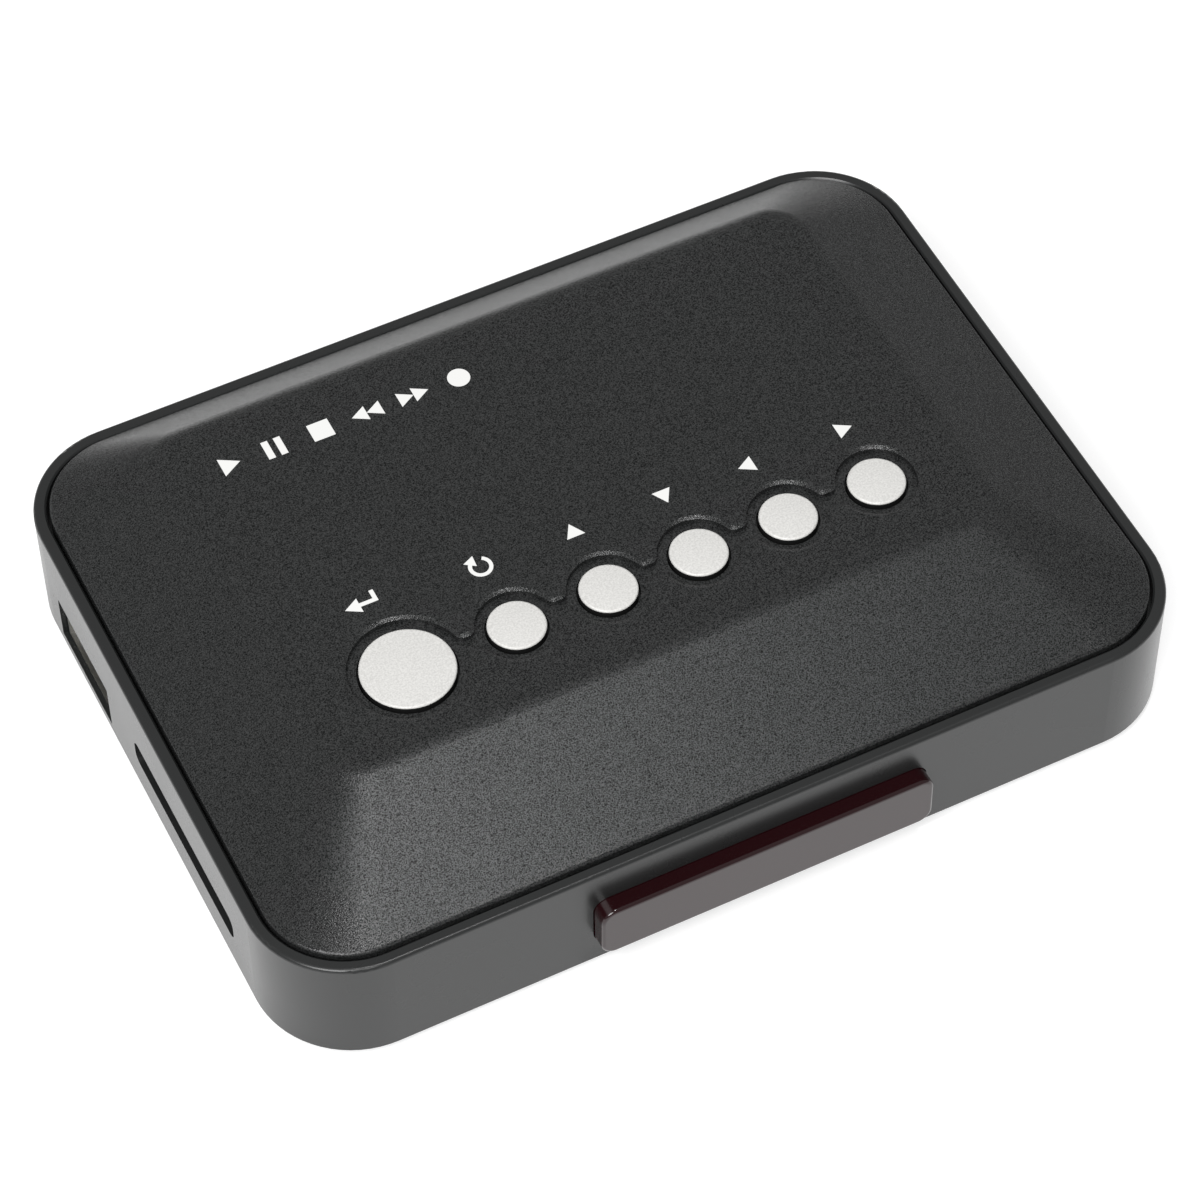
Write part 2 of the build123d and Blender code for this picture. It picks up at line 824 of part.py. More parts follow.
# ---- USB socket in the left wall: sheet shell sunk in the board's notch, tongue and contacts ----------
with BuildPart() as usb_shell:
    with BuildSketch(left_wall(usb_inset)):
        with Locations((usb_y, usb_z)):
            Rectangle(usb_shell_width, usb_shell_height)
            Rectangle(
                usb_shell_width - 2 * usb_sheet, usb_shell_height - 2 * usb_sheet, mode=Mode.SUBTRACT
            )
    extrude(amount=usb_shell_length)
    with BuildSketch(left_wall(usb_back - usb_tab_width)):
        with Locations((usb_y, board_top_z + usb_sheet / 2)):
            with GridLocations(usb_shell_width + usb_tab_reach, 0, 2, 1):
                Rectangle(usb_tab_reach, usb_sheet)
    extrude(amount=usb_tab_width)

usb_shell.part.label = "usb_shell"
export_step(usb_shell.part, "parts/usb_shell.step")

usb_inner_width = usb_shell_width - 2 * usb_sheet
usb_inner_height = usb_shell_height - 2 * usb_sheet
usb_tongue_z = usb_z + usb_inner_height / 2 - usb_tongue_drop - usb_tongue_height / 2
usb_block_depth = usb_back - usb_block_length
with BuildPart() as usb_insert:
    with BuildSketch(left_wall(usb_block_depth)):
        with Locations((usb_y, usb_z)):
            Rectangle(usb_inner_width, usb_inner_height)
    extrude(amount=usb_block_length)
    with BuildSketch(left_wall(usb_block_depth)):
        with Locations((usb_y, usb_tongue_z)):
            Rectangle(usb_tongue_width, usb_tongue_height)
    extrude(amount=-usb_tongue_length)

usb_insert.part.label = "usb_insert"
export_step(usb_insert.part, "parts/usb_insert.step")

with BuildPart() as usb_contacts:
    with BuildSketch(left_wall(usb_block_depth)):
        with Locations((usb_y, usb_tongue_z - usb_tongue_height / 2 - usb_contact_thick / 2)):
            with GridLocations(usb_contact_spacing, 0, usb_contact_count, 1):
                Rectangle(usb_contact_width, usb_contact_thick)
    extrude(amount=-usb_contact_length)

usb_contacts.part.label = "usb_contacts"
export_step(usb_contacts.part, "parts/usb_contacts.step")

# ---- Card socket behind the long slot: moulded tray, sheet cover and spring contacts ------------------
card_depth = wall + card_wall_gap
card_tray_height = card_socket_height - card_cover_sheet
card_pocket = card_socket_length - card_back_length
with BuildPart() as card_tray:
    with BuildSketch(left_wall(card_depth)):
        with Locations((card_y, board_top_z + card_tray_height / 2)):
            Rectangle(card_socket_width, card_tray_height)
    extrude(amount=card_socket_length)
    with BuildSketch(left_wall(card_depth)):
        with Locations((card_y, board_top_z + (card_base_thick + card_tray_height) / 2)):
            Rectangle(card_mouth_width, card_tray_height - card_base_thick)
    extrude(amount=card_pocket, mode=Mode.SUBTRACT)

card_tray.part.label = "card_tray"
export_step(card_tray.part, "parts/card_tray.step")

card_middle_x = -case_length / 2 + card_depth + card_socket_length / 2
with BuildPart() as card_cover:
    with BuildSketch(level(board_top_z + card_tray_height)):
        with Locations((card_middle_x, card_y)):
            Rectangle(card_socket_length, card_socket_width)
            with GridLocations(0, card_spring_spacing, 1, card_spring_count):
                Rectangle(card_spring_length, card_spring_slit, mode=Mode.SUBTRACT)
    extrude(amount=card_cover_sheet)

card_cover.part.label = "card_cover"
export_step(card_cover.part, "parts/card_cover.step")

card_contact_x = -case_length / 2 + card_depth + card_pocket - card_contact_length / 2
with BuildPart() as card_contacts:
    with BuildSketch(level(board_top_z + card_base_thick)):
        with Locations((card_contact_x, card_y)):
            with GridLocations(0, card_contact_spacing, 1, card_contact_count):
                Rectangle(card_contact_length, card_contact_width)
    extrude(amount=card_contact_thick)

card_contacts.part.label = "card_contacts"
export_step(card_contacts.part, "parts/card_contacts.step")

# ---- Picture socket in the rear wall: sheet shell, block with its tongue, fine contacts ----------------
hdmi_z = board_top_z + hdmi_height / 2
with BuildPart() as hdmi_shell:
    with BuildSketch(rear_wall(socket_inset)):
        Polygon(*picture_socket_corners(0), align=None)
        Polygon(*picture_socket_corners(-hdmi_sheet), align=None, mode=Mode.SUBTRACT)
    extrude(amount=hdmi_length)

hdmi_shell.part.label = "hdmi_shell"
export_step(hdmi_shell.part, "parts/hdmi_shell.step")

hdmi_block_depth = socket_inset + hdmi_length - hdmi_block_length
with BuildPart() as hdmi_insert:
    with BuildSketch(rear_wall(hdmi_block_depth)):
        Polygon(*picture_socket_corners(-hdmi_sheet), align=None)
    extrude(amount=hdmi_block_length)
    with BuildSketch(rear_wall(hdmi_block_depth)):
        with Locations((hdmi_x, hdmi_z)):
            Rectangle(hdmi_tongue_width, hdmi_tongue_height)
    extrude(amount=-hdmi_tongue_length)

hdmi_insert.part.label = "hdmi_insert"
export_step(hdmi_insert.part, "parts/hdmi_insert.step")

hdmi_contact_offset = hdmi_tongue_height + hdmi_contact_thick
with BuildPart() as hdmi_contacts:
    with BuildSketch(rear_wall(hdmi_block_depth)):
        with Locations((hdmi_x, hdmi_z)):
            with GridLocations(hdmi_contact_spacing, hdmi_contact_offset, hdmi_contact_count, 2):
                Rectangle(hdmi_contact_width, hdmi_contact_thick)
    extrude(amount=-hdmi_contact_length)

hdmi_contacts.part.label = "hdmi_contacts"
export_step(hdmi_contacts.part, "parts/hdmi_contacts.step")


# ---- Round sockets in the rear wall: sound and picture, and power ---------------------------------------
def round_socket(x, size, height, length, barrel, bore, bore_depth):
    """Square moulded body on the board, its barrel in the wall's hole, bored from the mouth."""
    with BuildPart() as jack:
        with BuildSketch(rear_wall(wall + socket_wall_gap)):
            with Locations((x, board_top_z + height / 2)):
                Rectangle(size, height)
        extrude(amount=length - (wall + socket_wall_gap - socket_inset))
        with BuildSketch(rear_wall(socket_inset)):
            with Locations((x, board_top_z + height / 2)):
                Circle(barrel / 2)
        extrude(amount=wall + socket_wall_gap - socket_inset)
        with BuildSketch(rear_wall(socket_inset)):
            with Locations((x, board_top_z + height / 2)):
                Circle(bore / 2)
        extrude(amount=bore_depth, mode=Mode.SUBTRACT)
    return jack.part


av_socket = round_socket(av_x, av_body, av_height, av_length, av_barrel, av_bore, av_bore_depth)
av_socket.label = "av_socket"
export_step(av_socket, "parts/av_socket.step")

dc_socket = round_socket(dc_x, dc_body, dc_height, dc_length, dc_barrel, dc_bore, dc_bore_depth)
dc_socket.label = "dc_socket"
export_step(dc_socket, "parts/dc_socket.step")

with BuildPart() as dc_socket_pin:
    with BuildSketch(rear_wall(socket_inset + dc_bore_depth)):
        with Locations((dc_x, dc_z)):
            Circle(dc_pin / 2)
    extrude(amount=-dc_pin_length)
    fillet(dc_socket_pin.faces().sort_by(Axis.Y)[-1].edges(), dc_pin_edge)

dc_socket_pin.part.label = "dc_socket_pin"
export_step(dc_socket_pin.part, "parts/dc_socket_pin.step")

# ---- Behind the window: infrared receiver and two status lamps in their holders -----------------------
receiver_face_y = behind_window_y + receiver_lens
with BuildPart() as ir_receiver:
    with BuildSketch(level(board_top_z)):
        with Locations((receiver_x, receiver_face_y + receiver_depth / 2)):
            Rectangle(receiver_width, receiver_depth)
    extrude(amount=receiver_height)
    with Locations((receiver_x, case_y + receiver_face_y, foot_proud + board_top_z + receiver_eye)):
        Sphere(receiver_lens)

ir_receiver.part.label = "ir_receiver"
export_step(ir_receiver.part, "parts/ir_receiver.step")

lamp_face = wall + window_flange_thick + window_clearance + led_diameter / 2
lamp_points = [(x, board_top_z + led_height) for x in led_xs]
with BuildPart() as led_holders:
    with BuildSketch(front_wall(lamp_face)):
        with Locations(*[(x, board_top_z + led_holder / 2) for x in led_xs]):
            Rectangle(led_holder, led_holder)
    extrude(amount=-led_holder)
    with BuildSketch(front_wall(lamp_face)):
        with Locations(*lamp_points):
            Circle(led_diameter / 2)
    extrude(amount=-led_length, mode=Mode.SUBTRACT)

led_holders.part.label = "led_holders"
export_step(led_holders.part, "parts/led_holders.step")

with BuildPart() as status_leds:
    with BuildSketch(front_wall(lamp_face)):
        with Locations(*lamp_points):
            Circle(led_diameter / 2)
    extrude(amount=-led_length)
    lamp_y = case_y - case_width / 2 + lamp_face
    with Locations(*[(x, lamp_y, foot_proud + z) for x, z in lamp_points]):
        Sphere(led_diameter / 2)

status_leds.part.label = "status_leds"
export_step(status_leds.part, "parts/status_leds.step")

# ---- Parts on the main board ------------------------------------------------------------------------------
with BuildPart() as processor:
    with BuildSketch(level(board_top_z)):
        with Locations((processor_x, processor_y)):
            Rectangle(processor_size, processor_size)
    extrude(amount=processor_height)

processor.part.label = "processor"
export_step(processor.part, "parts/processor.step")

with BuildPart() as heatsink:
    with BuildSketch(level(board_top_z + processor_height)):
        with Locations((processor_x, processor_y)):
            Rectangle(processor_size, processor_size)
    extrude(amount=heatsink_base)
    fin_spacing = (processor_size - fin_thick) / (fin_count - 1)
    with BuildSketch(level(board_top_z + processor_height + heatsink_base)):
        with Locations((processor_x, processor_y)):
            with GridLocations(fin_spacing, 0, fin_count, 1):
                Rectangle(fin_thick, processor_size)
    extrude(amount=heatsink_height - heatsink_base)

heatsink.part.label = "heatsink"
export_step(heatsink.part, "parts/heatsink.step")

with BuildPart() as memory_chips:
    with BuildSketch(level(board_top_z)):
        with Locations(*memory_points):
            Rectangle(memory_length, memory_width)
    extrude(amount=memory_height)

memory_chips.part.label = "memory_chips"
export_step(memory_chips.part, "parts/memory_chips.step")

with BuildPart() as memory_leads:
    with BuildSketch(level(board_top_z)):
        with Locations(*memory_points):
            with GridLocations(memory_length + lead_reach, lead_spacing, 2, lead_count):
                Rectangle(lead_reach, lead_width)
    extrude(amount=lead_thick)

memory_leads.part.label = "memory_leads"
export_step(memory_leads.part, "parts/memory_leads.step")

with BuildPart() as flash_chip:
    with BuildSketch(level(board_top_z)):
        with Locations((flash_x, flash_y)):
            Rectangle(flash_length, flash_width)
    extrude(amount=flash_height)

flash_chip.part.label = "flash_chip"
export_step(flash_chip.part, "parts/flash_chip.step")

with BuildPart() as regulators:
    with BuildSketch(level(board_top_z)):
        with Locations(*regulator_points):
            Rectangle(regulator_length, regulator_width)
    extrude(amount=regulator_height)

regulators.part.label = "regulators"
export_step(regulators.part, "parts/regulators.step")

with BuildPart() as inductors:
    with BuildSketch(level(board_top_z)):
        with Locations(*inductor_points):
            RectangleRounded(inductor_base_size, inductor_base_size, inductor_base_corner)
    extrude(amount=inductor_base_height)
    with BuildSketch(level(board_top_z + inductor_base_height)):
        with Locations(*inductor_points):
            Circle(inductor_diameter / 2)
    extrude(amount=inductor_height)

inductors.part.label = "inductors"
export_step(inductors.part, "parts/inductors.step")

with BuildPart() as capacitor_bases:
    with BuildSketch(level(board_top_z)):
        with Locations(*can_points):
            Rectangle(can_base, can_base)
    extrude(amount=can_base_height)

capacitor_bases.part.label = "capacitor_bases"
export_step(capacitor_bases.part, "parts/capacitor_bases.step")

with BuildPart() as capacitor_cans:
    with BuildSketch(level(board_top_z + can_base_height)):
        with Locations(*can_points):
            Circle(can_diameter / 2)
    extrude(amount=can_height)
    fillet(capacitor_cans.faces().group_by(Axis.Z)[-1].edges(), can_edge)

capacitor_cans.part.label = "capacitor_cans"
export_step(capacitor_cans.part, "parts/capacitor_cans.step")

with BuildPart() as crystal:
    with BuildSketch(level(board_top_z)):
        with Locations((crystal_x, crystal_y)):
            SlotOverall(crystal_length, crystal_width)
    extrude(amount=crystal_height)
    fillet(crystal.faces().sort_by(Axis.Z)[-1].edges(), crystal_edge)

crystal.part.label = "crystal"
export_step(crystal.part, "parts/crystal.step")

with BuildPart() as ceramic_capacitors:
    with BuildSketch(level(board_top_z)):
        with Locations((processor_x, processor_y)):
            with GridLocations(chip_spacing, processor_size + chip_stand_off, chip_rows, 2):
                Rectangle(chip_width, chip_length)
    extrude(amount=chip_height)

ceramic_capacitors.part.label = "ceramic_capacitors"
export_step(ceramic_capacitors.part, "parts/ceramic_capacitors.step")

with BuildPart() as chip_resistors:
    with BuildSketch(level(board_top_z)):
        with Locations((processor_x + (processor_size + chip_stand_off) / 2, processor_y)):
            with GridLocations(0, chip_spacing, 1, chip_rows):
                Rectangle(chip_length, chip_width)
    extrude(amount=chip_height)

chip_resistors.part.label = "chip_resistors"
export_step(chip_resistors.part, "parts/chip_resistors.step")
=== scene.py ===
import math

import bmesh
import bpy
from mathutils import Euler, Matrix, Vector


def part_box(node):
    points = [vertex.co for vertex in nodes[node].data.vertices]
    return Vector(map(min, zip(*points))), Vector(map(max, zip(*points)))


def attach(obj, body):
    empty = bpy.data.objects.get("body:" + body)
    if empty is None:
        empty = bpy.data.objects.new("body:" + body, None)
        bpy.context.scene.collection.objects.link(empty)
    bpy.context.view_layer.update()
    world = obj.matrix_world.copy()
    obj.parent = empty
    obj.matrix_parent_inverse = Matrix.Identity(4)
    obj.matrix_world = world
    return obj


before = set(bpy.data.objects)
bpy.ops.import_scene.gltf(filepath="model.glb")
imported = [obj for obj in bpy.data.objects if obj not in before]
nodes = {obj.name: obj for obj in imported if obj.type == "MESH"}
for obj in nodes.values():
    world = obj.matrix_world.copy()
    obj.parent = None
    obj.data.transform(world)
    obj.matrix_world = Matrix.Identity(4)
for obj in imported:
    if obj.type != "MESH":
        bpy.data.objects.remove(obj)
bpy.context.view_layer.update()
mm = 0.001

# Lower case: one injection moulding in black ABS, a tub that carries the rim, the ledge for the
# cover and the openings for the sockets. Its tool was etched to a fine satin, so the walls shine
# more than the cover does and pick up the pale table at a low angle.


def srgb(code):
    """Linear RGBA values of an sRGB hex colour."""
    channels = [int(code[i:i + 2], 16) / 255 for i in (1, 3, 5)]
    linear = [c / 12.92 if c <= 0.04045 else ((c + 0.055) / 1.055) ** 2.4 for c in channels]
    return (*linear, 1.0)


def surface(name, colour, roughness, **sockets):
    """A principled material with its constant values on the shader's own sockets."""
    material = bpy.data.materials.new(name)
    material.use_nodes = True
    shader = material.node_tree.nodes["Principled BSDF"]
    shader.inputs["Base Color"].default_value = srgb(colour)
    shader.inputs["Roughness"].default_value = roughness
    for key, value in sockets.items():
        shader.inputs[key.replace("_", " ")].default_value = value
    return material


def node(material, kind, settings, links):
    """Adds a node to a material, with its settings and its input links."""
    tree = material.node_tree
    made = tree.nodes.new(kind)
    for key, value in settings.items():
        if isinstance(key, int) or key not in made.bl_rna.properties:
            made.inputs[key].default_value = value
        else:
            setattr(made, key, value)
    for key, source in links.items():
        tree.links.new(source, made.inputs[key])
    return made


def drive(material, socket, source):
    """Links a node's output to one of the principled shader's sockets."""
    shader = material.node_tree.nodes["Principled BSDF"]
    material.node_tree.links.new(source, shader.inputs[socket])


def texture(material, grain, height, patch=0.0, spread=0.0, tint=None, shine=None):
    """Fine relief of real grain size and height, with wandering roughness, tint and shine."""
    place = node(material, "ShaderNodeTexCoord", {}, {}).outputs["Object"]
    grains = {"Scale": 1 / grain, "Detail": 2.0}
    noise = node(material, "ShaderNodeTexNoise", grains, {"Vector": place})
    bump = node(material, "ShaderNodeBump", {"Distance": height}, {"Height": noise.outputs["Fac"]})
    drive(material, "Normal", bump.outputs["Normal"])
    shader = material.node_tree.nodes["Principled BSDF"]
    if spread:
        clouds = {"Scale": 1 / patch, "Detail": 3.0}
        patches = node(material, "ShaderNodeTexNoise", clouds, {"Vector": place})
        middle = shader.inputs["Roughness"].default_value
        limits = {"To Min": middle - spread, "To Max": middle + spread}
        wander = node(material, "ShaderNodeMapRange", limits, {"Value": patches.outputs["Fac"]})
        drive(material, "Roughness", wander.outputs["Result"])
    if shine:
        limits = {"From Min": 0.3, "From Max": 0.7, "To Min": shine[0], "To Max": shine[1]}
        gleam = node(material, "ShaderNodeMapRange", limits, {"Value": noise.outputs["Fac"]})
        drive(material, "Specular IOR Level", gleam.outputs["Result"])
    if tint:
        limits = {"From Min": 0.35, "From Max": 0.65}
        share = node(material, "ShaderNodeMapRange", limits, {"Value": noise.outputs["Fac"]})
        ramp = node(material, "ShaderNodeMix", {"data_type": "RGBA"}, {0: share.outputs["Result"]})
        ramp.inputs[6].default_value = srgb(tint[0])
        ramp.inputs[7].default_value = srgb(tint[1])
        drive(material, "Base Color", ramp.outputs[2])


def dress(material, *names):
    """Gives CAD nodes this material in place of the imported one."""
    for name in names:
        nodes[name].data.materials.clear()
        nodes[name].data.materials.append(material)


# Satin moulded ABS: black with a soft sheen, which grows into a pale reflection at low angles.
satin_abs = surface("satin_moulded_abs", "#222323", 0.27)
texture(satin_abs, grain=0.35 * mm, height=0.003 * mm, patch=9 * mm, spread=0.03)
dress(satin_abs, "lower_case")

# Top cover: a second moulding in black ABS, let into the rim on a ledge and held by four screws
# from below. The tool for it was etched deeper, to a sandy grit that breaks up every reflection.
# The real grit is about a tenth of a millimetre; it is drawn half as coarse again, so that it
# shows, and its grains differ in shine, which gives the slope in front its sparkle.
sandy_abs = surface("sand_textured_abs", "#1e1f1f", 0.26)
texture(sandy_abs, grain=0.15 * mm, height=0.028 * mm, patch=12 * mm, spread=0.02,
        tint=("#111212", "#323333"), shine=(0.05, 0.75))
dress(sandy_abs, "top_cover")

# Signs above the buttons: an enter arrow, a return arrow and four direction arrows, pad-printed
# in white ink straight on the cover. The film of ink is drawn 0.02 mm thick.
ink_film = 0.02 * mm
cover_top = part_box("top_cover")[1].z
quarter = math.pi / 2
white_ink = surface("pad_printed_white_ink", "#e8e8e6", 0.5)
texture(white_ink, grain=0.3 * mm, height=0.002 * mm, patch=3 * mm, spread=0.04)


def patch(shape, corners, radius, turn=0.0, place=(0, 0)):
    """Flat regular patch with that many corners, the first towards turn, in millimetres."""
    move = Matrix.Translation((place[0] * mm, place[1] * mm, 0))
    move = move @ Matrix.Rotation(turn - quarter, 4, "Z")
    return bmesh.ops.create_circle(
        shape, cap_ends=True, segments=corners, radius=radius * mm, matrix=move)["verts"]


def bar(shape, length, width, turn=0.0, place=(0, 0)):
    """Flat rectangle of length by width, its middle at place, in millimetres."""
    move = Matrix.Translation((place[0] * mm, place[1] * mm, 0)) @ Matrix.Rotation(turn, 4, "Z")
    size = Matrix.Diagonal((length * mm, width * mm, 1, 1))
    bmesh.ops.create_grid(shape, x_segments=1, y_segments=1, size=0.5, matrix=move @ size)


def print_sign(name, shape, place):
    """Lays a flat sign on the cover at place, in the row frame, as a film of white ink."""
    bmesh.ops.recalc_face_normals(shape, faces=shape.faces)
    flat = [face for face in shape.faces if face.normal.z < 0]
    bmesh.ops.reverse_faces(shape, faces=flat)
    film = bmesh.ops.extrude_face_region(shape, geom=shape.faces[:], use_keep_orig=True)
    raised = [item for item in film["geom"] if isinstance(item, bmesh.types.BMVert)]
    bmesh.ops.translate(shape, verts=raised, vec=(0, 0, ink_film))
    bmesh.ops.recalc_face_normals(shape, faces=shape.faces)
    bmesh.ops.translate(shape, verts=shape.verts, vec=(place[0], place[1], cover_top))
    mesh = bpy.data.meshes.new(name)
    shape.to_mesh(mesh)
    shape.free()
    mesh.materials.append(white_ink)
    sign = bpy.data.objects.new(name, mesh)
    bpy.context.collection.objects.link(sign)
    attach(sign, "case")


def above_button(button, across, behind):
    """Point that far across and behind the middle of a button, in millimetres."""
    low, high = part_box(button)
    middle = (low + high) / 2
    return middle.x + across * mm, middle.y + behind * mm


# Each direction arrow has its place across and behind its button, in millimetres as measured in
# the photograph, and the way it points.
arrow_radius = 1.25
directions = {"up": (0.0, 8.4, quarter), "down": (0.1, 8.7, -quarter),
              "left": (-0.6, 8.2, 2 * quarter), "right": (0.0, 8.0, 0.0)}
for direction, (across, behind, turn) in directions.items():
    sign = bmesh.new()
    patch(sign, 3, arrow_radius, turn)
    print_sign(f"{direction}_sign", sign, above_button(f"{direction}_button", across, behind))

# The enter arrow is a head, a shaft behind it and a tail turned up at the shaft's end.
enter_head = 1.15
stroke = 0.5
shaft_length = 2.1
shaft_middle = 0.475
tail_length = 1.1
tail_x = shaft_middle + (shaft_length + stroke) / 2 - stroke
enter_sign = bmesh.new()
patch(enter_sign, 3, enter_head, 2 * quarter, (-enter_head, 0.0))
bar(enter_sign, shaft_length, stroke, 0.0, (shaft_middle, 0.0))
bar(enter_sign, stroke, tail_length, 0.0, (tail_x, (stroke + tail_length) / 2))
print_sign("enter_sign", enter_sign, above_button("enter_button", -0.5, 9.8))

# The return arrow is a ring, open at the upper left, with its head on the left end.
return_sign = bmesh.new()
ring_radius = 1.15
ring_width = 0.45
head_radius = 0.85
ring_start = math.radians(60)
ring_turn = math.radians(-275)
ring_steps = 24
bmesh.ops.create_grid(
    return_sign, x_segments=1, y_segments=1, size=0.5,
    matrix=Matrix.Rotation(ring_start, 4, "Z")
    @ Matrix.Translation((ring_radius * mm, 0, 0))
    @ Matrix.Diagonal((ring_width * mm, 0, 1, 1)))
start_line = [edge for edge in return_sign.edges if edge.calc_length() > ring_width * mm / 2]
bmesh.ops.delete(return_sign, geom=start_line[1:], context="EDGES")
bmesh.ops.spin(return_sign, geom=start_line[:1] + list(start_line[0].verts), cent=(0, 0, 0),
               axis=(0, 0, 1), angle=ring_turn, steps=ring_steps, use_merge=False)
bmesh.ops.remove_doubles(return_sign, verts=return_sign.verts, dist=0.01 * mm)
ring_end = ring_start + ring_turn
heading = ring_end - quarter
patch(return_sign, 3, head_radius, heading,
      (ring_radius * math.cos(ring_end) + head_radius / 2 * math.cos(heading),
       ring_radius * math.sin(ring_end) + head_radius / 2 * math.sin(heading)))
print_sign("return_sign", return_sign, above_button("return_button", -0.1, 8.7))

# Row of playback signs behind the buttons: play, pause, stop, rewind, forward and record, plain
# signs that any player may carry, pad-printed in the same white ink.
row_left = -33.0
row_step = 5.6
row_behind = 33.85
play_radius = 1.5
pause_width = 0.8
pause_height = 2.6
pause_shift = 0.75
stop_side = 2.5
wind_radius = 1.2
wind_near = 0.65
wind_far = 1.15
record_radius = 1.3
for k, kind in enumerate(("play", "pause", "stop", "rewind", "forward", "record")):
    sign = bmesh.new()
    if kind == "play":
        patch(sign, 3, play_radius)
    if kind == "pause":
        bar(sign, pause_width, pause_height, 0.0, (-pause_shift, 0))
        bar(sign, pause_width, pause_height, 0.0, (pause_shift, 0))
    if kind == "stop":
        bar(sign, stop_side, stop_side)
    if kind == "rewind":
        patch(sign, 3, wind_radius, 2 * quarter, (-wind_near, 0))
        patch(sign, 3, wind_radius, 2 * quarter, (wind_far, 0))
    if kind == "forward":
        patch(sign, 3, wind_radius, 0.0, (-wind_far, 0))
        patch(sign, 3, wind_radius, 0.0, (wind_near, 0))
    if kind == "record":
        patch(sign, 32, record_radius)
    start = above_button("enter_button", 0.0, row_behind)
    print_sign(f"{kind}_sign", sign, ((row_left + k * row_step) * mm, start[1]))

# Buttons: six caps with silver paint on the face. Below it, down the sides, the colour turns near
# black, so that a dark ring runs round each one. The flakes are too fine to see one by one and
# give a faint, even grain.
silver_paint = surface("silver_paint_on_abs", "#d4d3d0", 0.5, Metallic=0.1)
texture(silver_paint, grain=0.2 * mm, height=0.004 * mm, patch=4 * mm, spread=0.04,
        tint=("#cbcac7", "#dddcd9"))
painted_depth = 0.32 * mm
paint_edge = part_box("enter_button")[1].z - painted_depth
paint_fade = 0.06 * mm
paint_shader = silver_paint.node_tree.nodes["Principled BSDF"]
flakes = paint_shader.inputs["Base Color"].links[0].from_socket
place = node(silver_paint, "ShaderNodeTexCoord", {}, {}).outputs["Object"]
height = node(silver_paint, "ShaderNodeSeparateXYZ", {}, {"Vector": place}).outputs["Z"]
limits = {"From Min": paint_edge - paint_fade, "From Max": paint_edge}
painted = node(silver_paint, "ShaderNodeMapRange", limits, {"Value": height}).outputs["Result"]
cap = node(silver_paint, "ShaderNodeMix", {"data_type": "RGBA"}, {0: painted, 7: flakes})
cap.inputs[6].default_value = srgb("#151515")
drive(silver_paint, "Base Color", cap.outputs[2])
dress(silver_paint, *[name for name in nodes if name.endswith("_button")])

# Remote-control window: a clear acrylic moulding, dyed a red so deep that it looks black where
# it reflects nothing. It is pushed through the front wall from inside and held by its flange.
dyed_acrylic = surface("deep_red_acrylic", "#1e0508", 0.1, IOR=1.49, Coat_Weight=0.25)
texture(dyed_acrylic, grain=1.6 * mm, height=0.001 * mm, patch=8 * mm, spread=0.03)
dress(dyed_acrylic, "ir_window")

# Receiver and status lamps behind the window: dark epoxy that passes infrared, and two clear
# epoxy lamps in black holders that keep their light off each other.
dark_epoxy = surface("infrared_epoxy", "#17110f", 0.2)
texture(dark_epoxy, grain=0.5 * mm, height=0.001 * mm)
dress(dark_epoxy, "ir_receiver")
lamp_epoxy = surface("cast_clear_epoxy", "#cfd3d2", 0.12, Transmission_Weight=0.6)
texture(lamp_epoxy, grain=0.5 * mm, height=0.001 * mm)
dress(lamp_epoxy, "status_leds")
black_nylon = surface("glass_filled_nylon", "#161616", 0.5)
texture(black_nylon, grain=0.3 * mm, height=0.004 * mm, patch=5 * mm, spread=0.05)
dress(black_nylon, "led_holders")

# USB socket: a folded shell of tin-plated steel round a nylon tongue with four gilded springs.
# The plating is bright but not polished.
tin_plate = surface("tin_plated_steel", "#c9c8c4", 0.3, Metallic=1.0)
texture(tin_plate, grain=0.4 * mm, height=0.002 * mm, patch=4 * mm, spread=0.06)
gold_plate = surface("gold_plated_bronze", "#d9b26a", 0.25, Metallic=1.0)
texture(gold_plate, grain=0.3 * mm, height=0.001 * mm, patch=2 * mm, spread=0.04)
dress(tin_plate, "usb_shell")
dress(black_nylon, "usb_insert")
dress(gold_plate, "usb_contacts")

# Card socket: a nylon tray on the main board with a tin-plated steel cover snapped over it and
# nine gilded contacts along its floor.
dress(black_nylon, "card_tray")
dress(tin_plate, "card_cover")
dress(gold_plate, "card_contacts")

# Rear sockets: the picture socket's plated shell, and two moulded jacks for sound and power.
# The power jack has a turned steel pin.
dress(tin_plate, "hdmi_shell", "dc_socket_pin")
dress(black_nylon, "hdmi_insert", "av_socket", "dc_socket")
dress(gold_plate, "hdmi_contacts")

# Screws: four long ones that join the halves of the case, and the short ones of both boards,
# rolled from steel and plated with bright zinc.
zinc_plate = surface("zinc_plated_steel", "#b9b9b6", 0.32, Metallic=1.0)
texture(zinc_plate, grain=0.5 * mm, height=0.003 * mm, patch=3 * mm, spread=0.06)
dress(zinc_plate, "case_screws", "board_screws", "key_board_screws")

# Feet: discs punched from black rubber sheet and stuck into round recesses. The rubber is matt
# and soft-looking.
black_rubber = surface("black_rubber", "#1b1b1b", 0.85)
texture(black_rubber, grain=0.3 * mm, height=0.01 * mm, patch=3 * mm, spread=0.05)
dress(black_rubber, "rubber_feet")

# Main board and key board: glass-fibre laminate under a green solder mask. The mask is glossy and
# follows the weave below it.
solder_mask = surface("green_solder_mask", "#1c5a34", 0.3)
texture(solder_mask, grain=0.6 * mm, height=0.003 * mm, patch=6 * mm, spread=0.05)
dress(solder_mask, "main_board", "key_board")

# Switches below the buttons: black nylon bodies, stamped steel plates and legs, and a plunger
# for each button.
dress(black_nylon, "switch_bodies", *[name for name in nodes if name.endswith("_plunger")])
dress(tin_plate, "switch_plates", "switch_terminals")

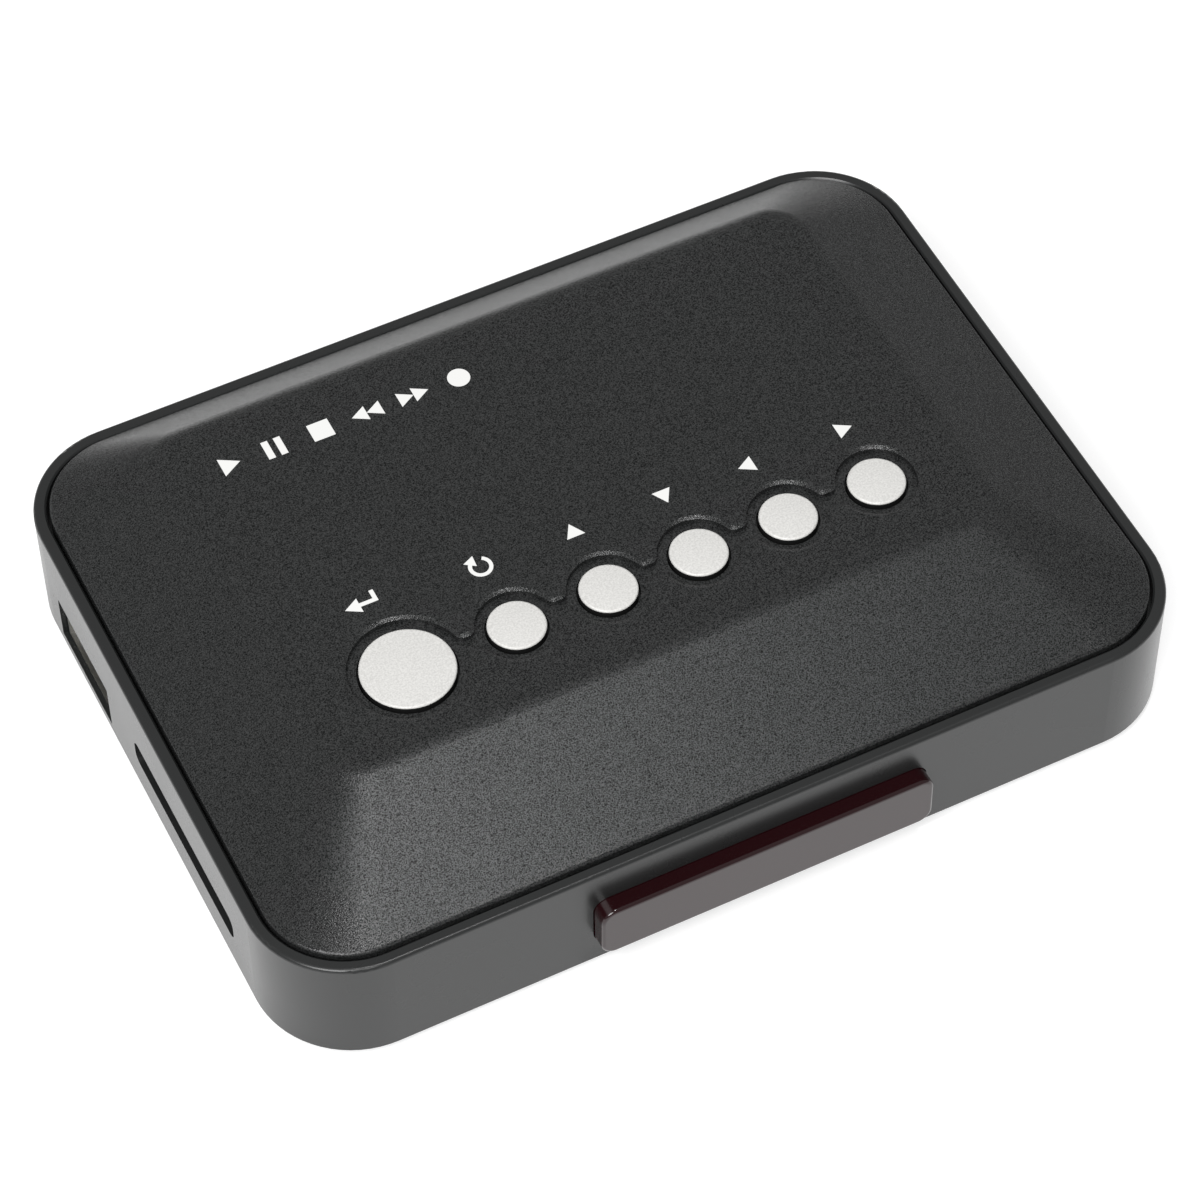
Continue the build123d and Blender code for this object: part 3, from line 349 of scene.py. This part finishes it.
# Link between the boards: a socket strip and a pin strip of nylon with gilded square pins.
dress(black_nylon, "header_socket", "header_strip")
dress(gold_plate, "header_pins")

# Chips: processor, memory and flash are black moulded epoxy with a fine matt skin, and the
# regulators are of the same stuff. The memory's legs are tin-plated.
chip_epoxy = surface("moulded_chip_epoxy", "#1d1e20", 0.6)
texture(chip_epoxy, grain=0.25 * mm, height=0.004 * mm, patch=4 * mm, spread=0.05)
dress(chip_epoxy, "processor", "memory_chips", "flash_chip", "regulators")
dress(tin_plate, "memory_leads")

# Heatsink on the processor: a finned block of extruded aluminium, anodised black, so that it
# looks like dark satin metal.
anodised = surface("black_anodised_aluminium", "#202124", 0.45, Metallic=0.3)
texture(anodised, grain=0.4 * mm, height=0.003 * mm, patch=5 * mm, spread=0.05)
dress(anodised, "heatsink")

# Inductors: low drums of pressed ferrite powder on square bases, soldered to the main board. The
# powder leaves a dull, dark grey skin with a fine tooth.
ferrite = surface("pressed_ferrite", "#2f2e30", 0.7)
texture(ferrite, grain=0.25 * mm, height=0.008 * mm, patch=3 * mm, spread=0.05)
dress(ferrite, "inductors")

# Electrolytic capacitors: drawn aluminium cans, bright and plain, each on a moulded nylon base
# that stands on the main board.
bright_aluminium = surface("drawn_aluminium", "#d4d5d6", 0.28, Metallic=1.0)
texture(bright_aluminium, grain=0.5 * mm, height=0.002 * mm, patch=4 * mm, spread=0.05)
dress(bright_aluminium, "capacitor_cans")
dress(black_nylon, "capacitor_bases")

# Crystal: a small drawn can, plated like the sockets' shells, soldered flat on the main board.
# It has no marks.
dress(tin_plate, "crystal")

# Small chips round the processor: fired ceramic capacitors, pale brown, and resistors with a
# black glaze.
fired_ceramic = surface("fired_ceramic", "#9a7b5c", 0.45)
texture(fired_ceramic, grain=0.2 * mm, height=0.003 * mm)
dress(fired_ceramic, "ceramic_capacitors")
black_glaze = surface("black_glaze", "#18181a", 0.25)
texture(black_glaze, grain=0.2 * mm, height=0.002 * mm)
dress(black_glaze, "chip_resistors")

# Table: plain white card. To the camera, and in what the case reflects, it is a little lighter
# than the light on it makes it, and it keeps the soft shadow under the case.
card_half = 3.0
table_shape = bmesh.new()
bmesh.ops.create_grid(table_shape, x_segments=1, y_segments=1, size=card_half)
table_mesh = bpy.data.meshes.new("table")
table_shape.to_mesh(table_mesh)
table_shape.free()
table = bpy.data.objects.new("table", table_mesh)
bpy.context.collection.objects.link(table)
table_glow = 0.45
white_card = surface("white_card", "#dedede", 0.9, Specular_IOR_Level=0.1)
card_shader = white_card.node_tree.nodes["Principled BSDF"]
table_mesh.materials.append(white_card)
rays = node(white_card, "ShaderNodeLightPath", {}, {})
plain_rays = node(white_card, "ShaderNodeMath", {"operation": "MAXIMUM"},
                  {0: rays.outputs["Is Camera Ray"], 1: rays.outputs["Is Glossy Ray"]})
seen_rays = node(white_card, "ShaderNodeMath", {"operation": "MAXIMUM"},
                 {0: plain_rays.outputs[0], 1: rays.outputs["Is Transmission Ray"]})
lift = node(white_card, "ShaderNodeMath", {"operation": "MULTIPLY", 1: table_glow},
            {0: seen_rays.outputs[0]})
card_shader.inputs["Emission Color"].default_value = srgb("#ffffff")
drive(white_card, "Emission Strength", lift.outputs[0])

# Light: an even pale room, one large softbox at the front left, and a small weak lamp overhead,
# whose broad glint on the grit makes the left half of the front slope the brighter one.
room = bpy.data.worlds.new("room")
bpy.context.scene.world = room
room.use_nodes = True
room_light = room.node_tree.nodes["Background"]
room_light.inputs["Color"].default_value = srgb("#ffffff")
room_light.inputs["Strength"].default_value = 0.38


def softbox(name, position, target, size, watts):
    """Square area lamp at position, in metres, turned to face target."""
    lamp = bpy.data.lights.new(name, "AREA")
    lamp.shape = "SQUARE"
    lamp.size = size
    lamp.energy = watts
    holder = bpy.data.objects.new(name, lamp)
    bpy.context.collection.objects.link(holder)
    holder.location = position
    holder.rotation_euler = (Vector(target) - Vector(position)).to_track_quat("-Z", "Y").to_euler()


softbox("key_softbox", position=(-0.45, -0.5, 0.75), target=(0, 0, 0), size=0.6, watts=9.4)
softbox("overhead_spot", position=(0.07, -0.04, 0.9), target=(0, 0, 0), size=0.08, watts=1.45)

# Camera: its place and lens come from the straight edges of the case in the photograph.
camera = bpy.data.cameras.new("camera")
camera.lens = 131.714
camera.sensor_width = 36.0
camera.clip_start = 0.05
stand = bpy.data.objects.new("camera", camera)
bpy.context.collection.objects.link(stand)
stand.location = (-0.129445, -0.267169, 0.394077)
stand.rotation_euler = Euler([math.radians(a) for a in (37.50905, 0.46945, -26.47015)])
scene = bpy.context.scene
scene.camera = stand
scene.view_settings.view_transform = "Standard"
